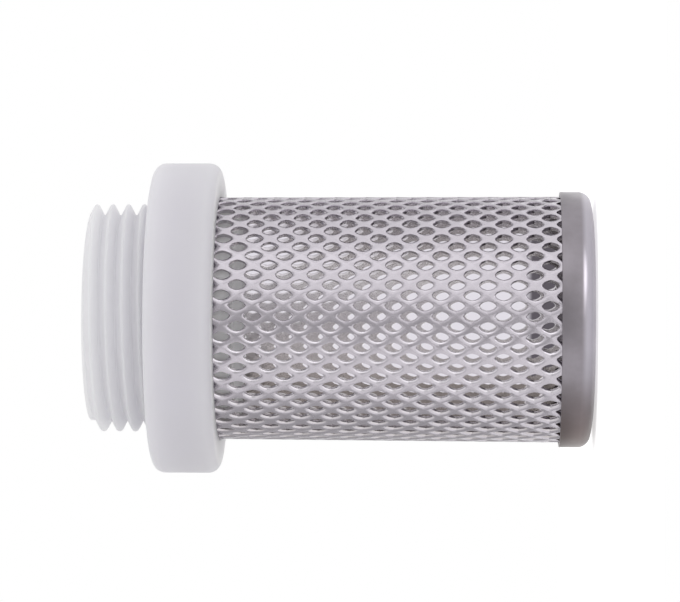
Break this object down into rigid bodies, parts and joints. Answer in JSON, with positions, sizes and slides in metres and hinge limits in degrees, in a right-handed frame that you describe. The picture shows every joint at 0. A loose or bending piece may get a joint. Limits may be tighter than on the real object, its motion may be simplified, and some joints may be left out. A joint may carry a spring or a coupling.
{
  "type": "hydraulic suction strainer",
  "caption": "Suction strainer with a male pipe thread on a moulded flanged collar, a basket of expanded stainless steel mesh and a pressed steel end cap.",
  "frame": {"origin": "centre of the flat end of the cap, on which the strainer stands", "axes": "+Z along the strainer's axis, from the cap to the threaded end"},
  "size_m": [0.0452, 0.0452, 0.0732],
  "materials": {
    "nylon": "moulded, satin, slightly translucent white",
    "expanded_steel": "bright satin stainless steel, slit and stretched",
    "pressed_steel": "drawn stainless steel with a clouded grey surface"
  },
  "bodies": {
    "root": {"threaded_collar": "nylon", "mesh_tube": "expanded_steel", "end_cap": "pressed_steel"}
  },
  "joints": []
}
